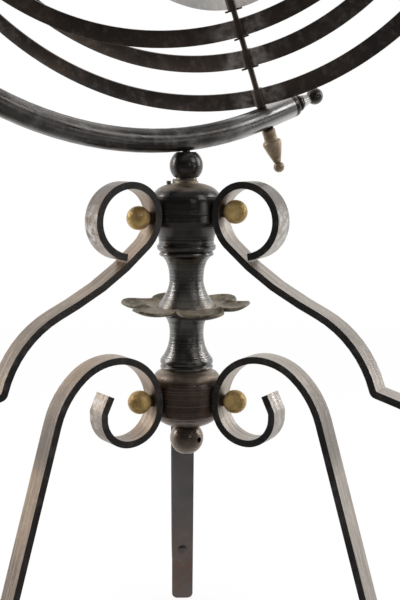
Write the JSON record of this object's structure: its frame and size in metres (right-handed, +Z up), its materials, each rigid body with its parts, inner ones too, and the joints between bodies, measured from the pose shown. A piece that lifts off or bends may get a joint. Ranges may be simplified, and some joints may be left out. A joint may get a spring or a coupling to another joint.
{
  "type": "armillary sphere",
  "caption": "Nested flat rings on a tilted polar rod inside a round-bar meridian arc, swivelling on a turned column with scrolled tripod legs and a petalled pan.",
  "frame": {"origin": "on the floor, on the axis of the turned column", "axes": "+Z up along the column, +Y towards the back leg, +X to the right as seen from the front"},
  "size_m": [0.6902, 0.5623, 1.4012],
  "materials": {
    "iron": "dark patinated, semi-gloss",
    "ring_iron": "brown-black patinated flat bar",
    "worn_iron": "worn dark steel with bright wear",
    "brass": "satin turned, dulled",
    "pan": "dusty olive-brown"
  },
  "bodies": {
    "stand": {"leg_front_left": "iron", "leg_front_right": "iron", "leg_back": "iron", "brace_front_left": "iron", "brace_front_right": "iron", "brace_back": "iron", "upper_ball_bolts": "brass", "lower_ball_bolts": "brass", "ankle_rivets": "iron", "tie_rod": "iron", "bottom_nut": "iron", "bottom_washer": "worn_iron", "lower_knob": "iron", "lower_neck": "iron", "flower_pan": "pan", "upper_neck": "iron", "upper_knob": "iron", "swivel_lock_screw": "worn_iron", "thrust_washer": "brass"},
    "head": {"head_ball": "iron", "swivel_stud": "worn_iron", "meridian_arc": "worn_iron", "arc_end_lower": "worn_iron", "arc_end_upper": "worn_iron", "polar_rod": "worn_iron", "finial_lower": "brass", "finial_upper": "brass", "finial_washers": "iron", "ring_spacers": "worn_iron", "cross_pins": "iron", "centre_globe": "brass"},
    "ring_1_body": {"ring_1": "ring_iron", "ring_1_sleeves": "ring_iron"},
    "ring_2_body": {"ring_2": "ring_iron", "ring_2_sleeves": "ring_iron"},
    "ring_3_body": {"ring_3": "ring_iron", "ring_3_sleeves": "ring_iron"},
    "ring_4_body": {"ring_4": "ring_iron", "ring_4_sleeves": "ring_iron"}
  },
  "joints": [
    {"name": "head_swivel", "type": "hinge", "parent": "stand", "child": "head", "pos_m": [0, 0, 0.534], "axis": [0, 0, 1], "continuous": true},
    {"name": "ring_1_turn", "type": "hinge", "parent": "head", "child": "ring_1_body", "pos_m": [-0.03474, -0.02006, 0.97137], "axis": [-0.299, -0.1726, 0.9385], "continuous": true},
    {"name": "ring_2_turn", "type": "hinge", "parent": "head", "child": "ring_2_body", "pos_m": [-0.03474, -0.02006, 0.97137], "axis": [-0.299, -0.1726, 0.9385], "continuous": true},
    {"name": "ring_3_turn", "type": "hinge", "parent": "head", "child": "ring_3_body", "pos_m": [-0.03474, -0.02006, 0.97137], "axis": [-0.299, -0.1726, 0.9385], "continuous": true},
    {"name": "ring_4_turn", "type": "hinge", "parent": "head", "child": "ring_4_body", "pos_m": [-0.03474, -0.02006, 0.97137], "axis": [-0.299, -0.1726, 0.9385], "continuous": true}
  ]
}
